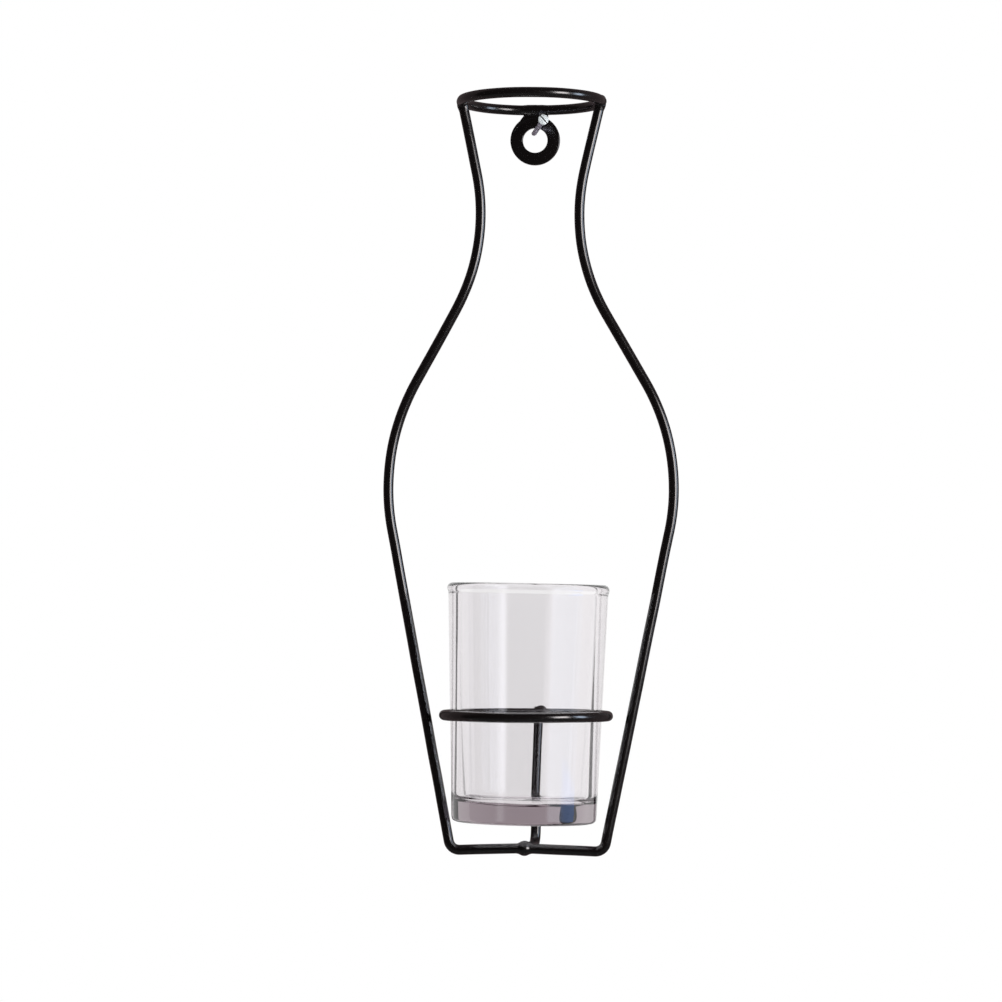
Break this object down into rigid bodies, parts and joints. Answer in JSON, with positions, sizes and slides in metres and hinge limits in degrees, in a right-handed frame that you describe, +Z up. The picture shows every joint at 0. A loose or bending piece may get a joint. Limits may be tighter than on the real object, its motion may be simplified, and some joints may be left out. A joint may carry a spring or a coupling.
{
  "type": "hanging wall vase",
  "caption": "Wall-hung vase: a black wire bottle outline with a mouth ring and hanger eye on a slanted wall screw, with a tapered clear glass cup wedged in a ring.",
  "frame": {"origin": "the point where the wall screw's axis enters the wall", "axes": "+Z up, +Y into the wall, +X to the right of someone facing the wall"},
  "size_m": [0.1171, 0.0913, 0.3],
  "materials": {
    "black_paint": "gloss black paint on steel wire",
    "bright_zinc": "bright zinc plate",
    "clear_glass": "clear pressed glass"
  },
  "bodies": {
    "screw": {"wall_screw": "bright_zinc"},
    "frame": {"hanger_eye": "black_paint", "mouth_ring": "black_paint", "left_side_wire": "black_paint", "right_side_wire": "black_paint", "cup_ring": "black_paint", "stem_wire": "black_paint", "eye_weld": "black_paint", "mouth_weld_left": "black_paint", "mouth_weld_right": "black_paint", "base_weld": "black_paint", "stem_weld": "black_paint"},
    "cup": {"glass_cup": "clear_glass"}
  },
  "joints": [
    {"name": "hang_swing", "type": "hinge", "parent": "screw", "child": "frame", "pos_m": [0.00057, -0.002, -0.0032], "axis": [0, 1, 0], "range_deg": [-30, 30]},
    {"name": "cup_lift", "type": "slide", "parent": "frame", "child": "cup", "axis": [0, 0, 1], "range_m": [0, 0.055]}
  ]
}
